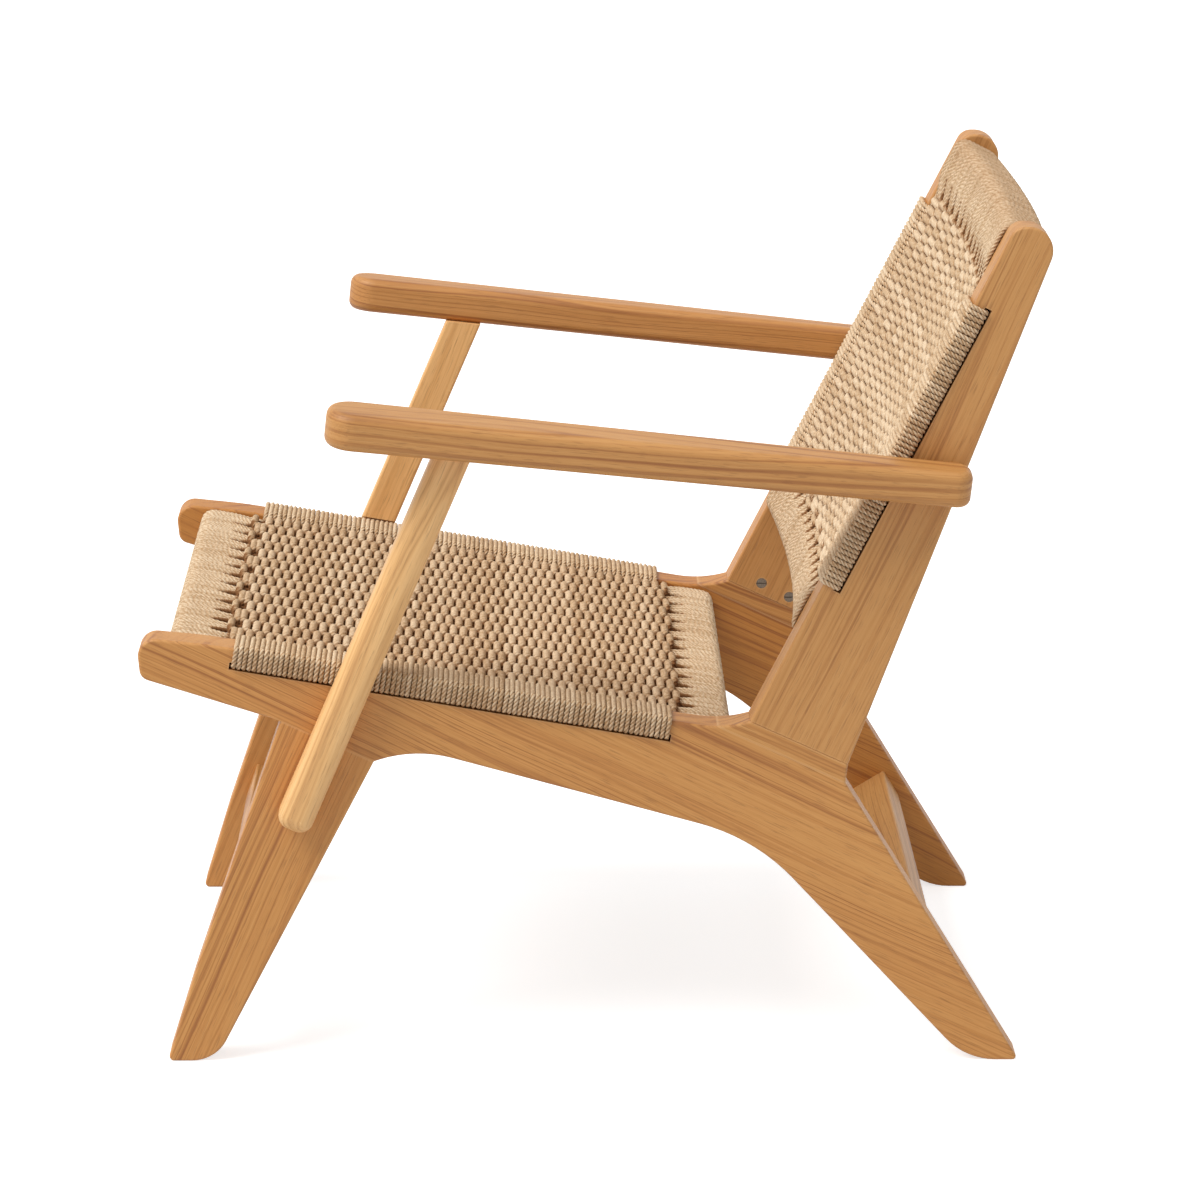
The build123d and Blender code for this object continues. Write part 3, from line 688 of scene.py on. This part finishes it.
class Shader:
    """A material's node tree with short ways to add and join nodes."""

    mix_colours = (6, 7)  # numbers of a mix node's sockets for colours
    mix_result = 2

    def __init__(self, name):
        self.material = bpy.data.materials.new(name)
        self.material.use_nodes = True
        self.tree = self.material.node_tree
        self.surface = self.tree.nodes["Principled BSDF"]

    def add(self, kind, inputs=(), **settings):
        """A new node with its settings, and its inputs set or joined."""
        node = self.tree.nodes.new(kind)
        for key, value in settings.items():
            setattr(node, key, value)
        for key, value in dict(inputs).items():
            self.put(node, key, value)
        return node

    def put(self, node, key, value):
        """Sets an input, or joins it if the value is a socket."""
        if isinstance(value, bpy.types.NodeSocket):
            self.tree.links.new(value, node.inputs[key])
        else:
            node.inputs[key].default_value = value

    def dress(self, inputs):
        """Sets or joins inputs of the material's surface."""
        for key, value in inputs.items():
            self.put(self.surface, key, value)

    def coordinates(self):
        """Coordinates of the object, in metres."""
        return self.add("ShaderNodeTexCoord").outputs["Object"]

    def maths(self, operation, first, second=0.0, clamp=False):
        """Result of a maths node."""
        node = self.add("ShaderNodeMath", {0: first, 1: second}, operation=operation, use_clamp=clamp)
        return node.outputs[0]

    def times(self, first, second, clamp=False):
        """Product of two values."""
        return self.maths("MULTIPLY", first, second, clamp)

    def total(self, first, *others):
        """Sum of all values."""
        for other in others:
            first = self.maths("ADD", first, other)
        return first

    def less(self, first, second, clamp=False):
        """First value less the second."""
        return self.maths("SUBTRACT", first, second, clamp)

    def noise(self, vector, scale, detail=2.0, roughness=0.5):
        """Value of a noise texture."""
        inputs = {"Vector": vector, "Scale": scale, "Detail": detail, "Roughness": roughness}
        return self.add("ShaderNodeTexNoise", inputs).outputs["Fac"]

    def streaks(self, vector, scale, detail=2.0, roughness=0.5):
        """Value of a noise texture with a scale of its own along each axis."""
        return self.noise(self.mapped(vector, scale=scale), 1.0, detail, roughness)

    def mapped(self, vector, scale=(1, 1, 1), rotation=(0, 0, 0), location=(0, 0, 0)):
        """Vector moved, turned and scaled."""
        inputs = {"Vector": vector, "Scale": scale, "Rotation": rotation, "Location": location}
        return self.add("ShaderNodeMapping", inputs).outputs[0]

    def ramp(self, value, stops):
        """Colour ramp through (place, colour) stops."""
        node = self.add("ShaderNodeValToRGB", {"Fac": value})
        elements = node.color_ramp.elements
        while len(elements) < len(stops):
            elements.new(0.5)
        for element, (place, colour) in zip(elements, stops):
            element.position = place
            element.color = (*colour, 1.0)
        return node.outputs["Color"]

    def blend(self, factor, first, second, mode="MIX"):
        """Mix of two colours."""
        node = self.add("ShaderNodeMix", data_type="RGBA", blend_type=mode)
        self.put(node, 0, factor)
        for key, value in zip(self.mix_colours, (first, second)):
            self.put(node, key, value if isinstance(value, bpy.types.NodeSocket) else (*value, 1.0))
        return node.outputs[self.mix_result]

    def bump(self, height, look):
        """Normal of a surface with small heights on it."""
        return self.add("ShaderNodeBump", {"Height": height, **look}).outputs[0]


def edge_mask(shader, radius):
    """1 along edges and 0 on flat faces."""
    bevel = shader.add("ShaderNodeBevel", {"Radius": radius}, samples=EDGE_HIGHLIGHT_SAMPLES).outputs[0]
    normal = shader.add("ShaderNodeNewGeometry").outputs["Normal"]
    dot = shader.add("ShaderNodeVectorMath", {0: bevel, 1: normal}, operation="DOT_PRODUCT")
    return shader.times(shader.less(1.0, dot.outputs["Value"]), EDGE_HIGHLIGHT_GAIN, clamp=True)


def thin_lines(shader, spread, scale, width):
    """Lines at which a noise passes its middle value, from 1 on a line to 0 beside it."""
    value = shader.streaks(spread, (scale, scale, 1), LINE_DETAIL)
    away = shader.maths("ABSOLUTE", shader.less(value, 0.5))
    near = shader.less(1.0, shader.maths("DIVIDE", away, width), clamp=True)
    return shader.maths("POWER", near, LINE_POWER)


def growth_lines(shader, turned, pith):
    """Thin dark late wood lines: uneven rings about a pith line that wander along the grain."""
    x, y, z = shader.add("ShaderNodeSeparateXYZ", {0: turned}).outputs
    dx = shader.less(x, pith[0])
    dz = shader.less(z, pith[1])
    square = shader.total(shader.times(dx, dx), shader.times(dz, dz))
    radius = shader.total(
        shader.maths("SQRT", square),
        shader.times(shader.streaks(turned, RING_BEND_SCALE), RING_BEND),
        shader.times(shader.streaks(turned, RING_WANDER_SCALE), RING_WANDER),
    )
    drift = shader.times(y, RING_DRIFT)
    spread = shader.add("ShaderNodeCombineXYZ", {0: radius, 1: drift}).outputs[0]
    coarse = thin_lines(shader, spread, *COARSE_LINES)
    fine = shader.times(thin_lines(shader, spread, *FINE_LINES), FINE_SHARE)
    uneven = shader.ramp(shader.streaks(turned, LINE_STRENGTH_SCALE), LINE_STRENGTH_STOPS)
    return shader.times(shader.total(coarse, fine), uneven)


def wood_colour(shader, darkness, pores, tone):
    """Honey colours from light early wood to dark lines, with dark pores and a painted highlight along the
    edges.
    """
    colour = shader.ramp(darkness, WOOD_STOPS)
    colour = shader.blend(shader.times(pores, PORE_SHARE), colour, PORE_COLOUR)
    colour = shader.blend(1.0, colour, tone, "MULTIPLY")
    # painted highlight along the edges
    edge_highlight = edge_mask(shader, EDGE_HIGHLIGHT_RADIUS)
    return shader.blend(shader.times(edge_highlight, EDGE_HIGHLIGHT_SHARE), colour, EDGE_HIGHLIGHT_COLOUR)


def wood_material(name, rotation, place, pith, strength, tone):
    """Oiled honey wood: growth lines, fibres, pores, a satin oil finish and a painted highlight along the
    edges.

    The grain runs along the turned Y axis. pith is the place of the ring centre across it, in metres, and
    strength is how much darker the growth lines are.
    """
    shader = Shader(name)
    turned = shader.mapped(shader.coordinates(), rotation=rotation, location=place)
    fibre = shader.streaks(turned, FIBRE_SCALE, *ROUGH_NOISE)
    broad = shader.streaks(turned, BROAD_SCALE)
    pores = shader.ramp(shader.streaks(turned, PORE_SCALE), PORE_STOPS)
    darkness = shader.total(
        shader.times(growth_lines(shader, turned, pith), strength),
        shader.times(shader.less(fibre, 0.5), FIBRE_DARKNESS),
        shader.times(shader.less(broad, 0.5), BROAD_DARKNESS),
        WOOD_DARKNESS,
    )
    height = shader.less(fibre, shader.times(pores, PORE_DEPTH))
    shader.dress({
        "Base Color": wood_colour(shader, darkness, pores, tone),
        "Roughness": shader.total(WOOD_ROUGHNESS, shader.times(fibre, FIBRE_ROUGHNESS)),
        "Specular IOR Level": WOOD_SPECULAR,
        "Normal": shader.bump(height, WOOD_BUMP),
    })
    return shader.material


def cord_colour(shader, fleck):
    """Beige, each cord a little different, with painted shade in the grooves between plies and in hollows.
    """
    shade, crown, painted_shade = (
        shader.add("ShaderNodeAttribute", attribute_name=label).outputs["Fac"]
        for label in ("cord_shade", "cord_crown", "cord_painted_shade")
    )
    patch = shader.streaks(shader.coordinates(), PATCH_SCALE, *ROUGH_NOISE)
    light = shader.total(
        shader.times(shade, CORD_SHARE),
        shader.times(patch, PATCH_SHARE),
        shader.times(fleck, FLECK_SHARE),
    )
    colour = shader.ramp(shader.less(light, CORD_DARKENING), CORD_STOPS)
    # painted shade in the grooves between plies
    groove_shade = shader.times(shader.less(1.0, crown), GROOVE_SHADE_SHARE)
    colour = shader.blend(groove_shade, colour, GROOVE_SHADE_COLOUR)
    # painted shade in hollows: first warmer, then darker
    colour = shader.blend(shader.maths("MINIMUM", painted_shade, 1.0), colour, PAINTED_SHADE_TONE, "MULTIPLY")
    hollow_shade = shader.times(shader.maths("POWER", painted_shade, HOLLOW_SHADE_POWER), HOLLOW_SHADE_SHARE, clamp=True)
    return shader.blend(hollow_shade, colour, HOLLOW_SHADE_COLOUR)


def cord_material():
    """Twisted paper cord, matt and fibrous."""
    shader = Shader("paper_cord")
    fleck = shader.noise(shader.coordinates(), FLECK_SCALE)
    shader.dress({
        "Base Color": cord_colour(shader, fleck),
        "Roughness": shader.total(CORD_ROUGHNESS, shader.times(fleck, FLECK_ROUGHNESS)),
        "Specular IOR Level": CORD_SPECULAR,
        "Normal": shader.bump(fleck, CORD_BUMP),
    })
    return shader.material


def steel_material():
    """Dark steel of bolts, nuts and screws, a little scratched."""
    shader = Shader("dark_steel")
    scratch = shader.streaks(shader.coordinates(), SCRATCH_SCALE, SCRATCH_DETAIL)
    shader.dress({
        "Base Color": shader.ramp(scratch, STEEL_STOPS),
        "Metallic": STEEL_METALLIC,
        "Roughness": shader.total(STEEL_ROUGHNESS, shader.times(scratch, SCRATCH_ROUGHNESS)),
    })
    return shader.material


def show_node(node, material):
    """Gives a CAD node its material."""
    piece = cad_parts[node]
    piece.data.materials.clear()
    piece.data.materials.append(material)


def side_tone(side, part, tone):
    """Tone of a side piece: painted shade makes the right side a little darker than the left."""
    if side == "left":
        return tone
    return [own * other for own, other in zip(tone, RIGHT_SHADE_TONES.get(part, RIGHT_SHADE_TONE))]


def dress_wood():
    """Wood materials of all wooden CAD nodes."""
    for side, shift in SIDE_SHIFTS.items():
        for index, (part, (angle, pith, strength, tone)) in enumerate(SIDE_GRAIN.items()):
            low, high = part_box(f"{side}_{part}")
            turn = math.radians(-angle)
            centre = Matrix.Rotation(turn, 3, "X") @ ((low + high) / 2)
            place = Vector((0, shift + PIECE_SHIFT * index, 0)) - centre
            tone = side_tone(side, part, tone)
            name = f"wood_{side}_{part}"
            show_node(f"{side}_{part}", wood_material(name, (turn, 0, 0), place, pith, strength, tone))
    across = (0, 0, math.radians(CROSS_GRAIN))
    cross = wood_material("wood_cross", across, (0, 0, 0), CROSS_PITH, CROSS_STRENGTH, CROSS_TONE)
    for node in CROSS_PIECES:
        show_node(node, cross)


def dress_steel():
    """Steel material of all fasteners."""
    steel = steel_material()
    for node in STEEL_PIECES:
        show_node(node, steel)


# Studio

def add_camera():
    """Camera that looks at the chair as in the photo."""
    yaw, pitch, roll = (math.radians(angle) for angle in (CAMERA_YAW, CAMERA_PITCH, CAMERA_ROLL))
    forward = Vector((-math.cos(pitch) * math.cos(yaw), math.cos(pitch) * math.sin(yaw), -math.sin(pitch)))
    level = Vector((math.sin(yaw), math.cos(yaw), 0))
    down = forward.cross(level)
    right = math.cos(roll) * level + math.sin(roll) * down
    up = math.sin(roll) * level - math.cos(roll) * down
    data = bpy.data.cameras.new("photo_camera")
    data.lens = CAMERA_LENS
    data.sensor_width = CAMERA_SENSOR
    data.clip_end = CAMERA_CLIP
    camera = bpy.data.objects.new("photo_camera", data)
    turn = Matrix((right, up, -forward)).transposed()
    place = (Vector(CAMERA_TARGET) - forward * CAMERA_DISTANCE) / MM_PER_METRE
    camera.matrix_world = Matrix.Translation(place) @ turn.to_4x4()
    bpy.context.scene.collection.objects.link(camera)
    bpy.context.scene.camera = camera


def seen_directly(tree):
    """1 for what the camera sees, straight or in a reflection, and 0 for light on the chair."""
    path = tree.nodes.new("ShaderNodeLightPath")
    seen = path.outputs["Is Camera Ray"]
    for kind in ("Is Glossy Ray", "Is Transmission Ray"):
        node = tree.nodes.new("ShaderNodeMath")
        node.operation = "MAXIMUM"
        tree.links.new(seen, node.inputs[0])
        tree.links.new(path.outputs[kind], node.inputs[1])
        seen = node.outputs[0]
    return seen


def add_floor():
    """Wide white floor that keeps the chair's soft shadow."""
    corners = [(-1, -1), (1, -1), (1, 1), (-1, 1)]
    mesh = bpy.data.meshes.new("floor")
    mesh.from_pydata([(FLOOR_HALF * x, FLOOR_HALF * y, 0) for x, y in corners], [], [(0, 1, 2, 3)])
    floor = bpy.data.objects.new("floor", mesh)
    bpy.context.scene.collection.objects.link(floor)
    shader = Shader("floor")
    shader.dress({
        "Base Color": FLOOR_COLOUR,
        "Roughness": FLOOR_ROUGHNESS,
        "Specular IOR Level": 0.0,
        "Emission Color": WHITE,
        "Emission Strength": shader.times(seen_directly(shader.tree), FLOOR_GLOW),
    })
    mesh.materials.append(shader.material)


def add_key_light():
    """Broad soft light from the front, from above and a little from the camera's side."""
    data = bpy.data.lights.new("key", "SUN")
    data.energy = KEY_LEVEL * math.pi
    data.angle = math.radians(KEY_SOFTNESS)
    light = bpy.data.objects.new("key", data)
    light.rotation_euler = Vector(KEY_FROM).to_track_quat("Z", "Y").to_euler()
    bpy.context.scene.collection.objects.link(light)


def add_sky():
    """Surroundings that look white and light the chair evenly from all sides."""
    world = bpy.data.worlds.new("studio")
    world.use_nodes = True
    tree = world.node_tree
    background = tree.nodes["Background"]
    background.inputs["Color"].default_value = WHITE
    level = tree.nodes.new("ShaderNodeMapRange")
    tree.links.new(seen_directly(tree), level.inputs["Value"])
    level.inputs["To Min"].default_value = SKY_LEVEL
    level.inputs["To Max"].default_value = 1.0
    tree.links.new(level.outputs[0], background.inputs["Strength"])
    bpy.context.scene.world = world


def add_studio():
    """Sky, key light and floor."""
    add_sky()
    add_key_light()
    add_floor()
    bpy.context.scene.view_settings.view_transform = "Standard"


dress_wood()
dress_steel()
cord_look = cord_material()
weave(seat_panel(), cord_look)
weave(back_panel(), cord_look)
add_camera()
add_studio()
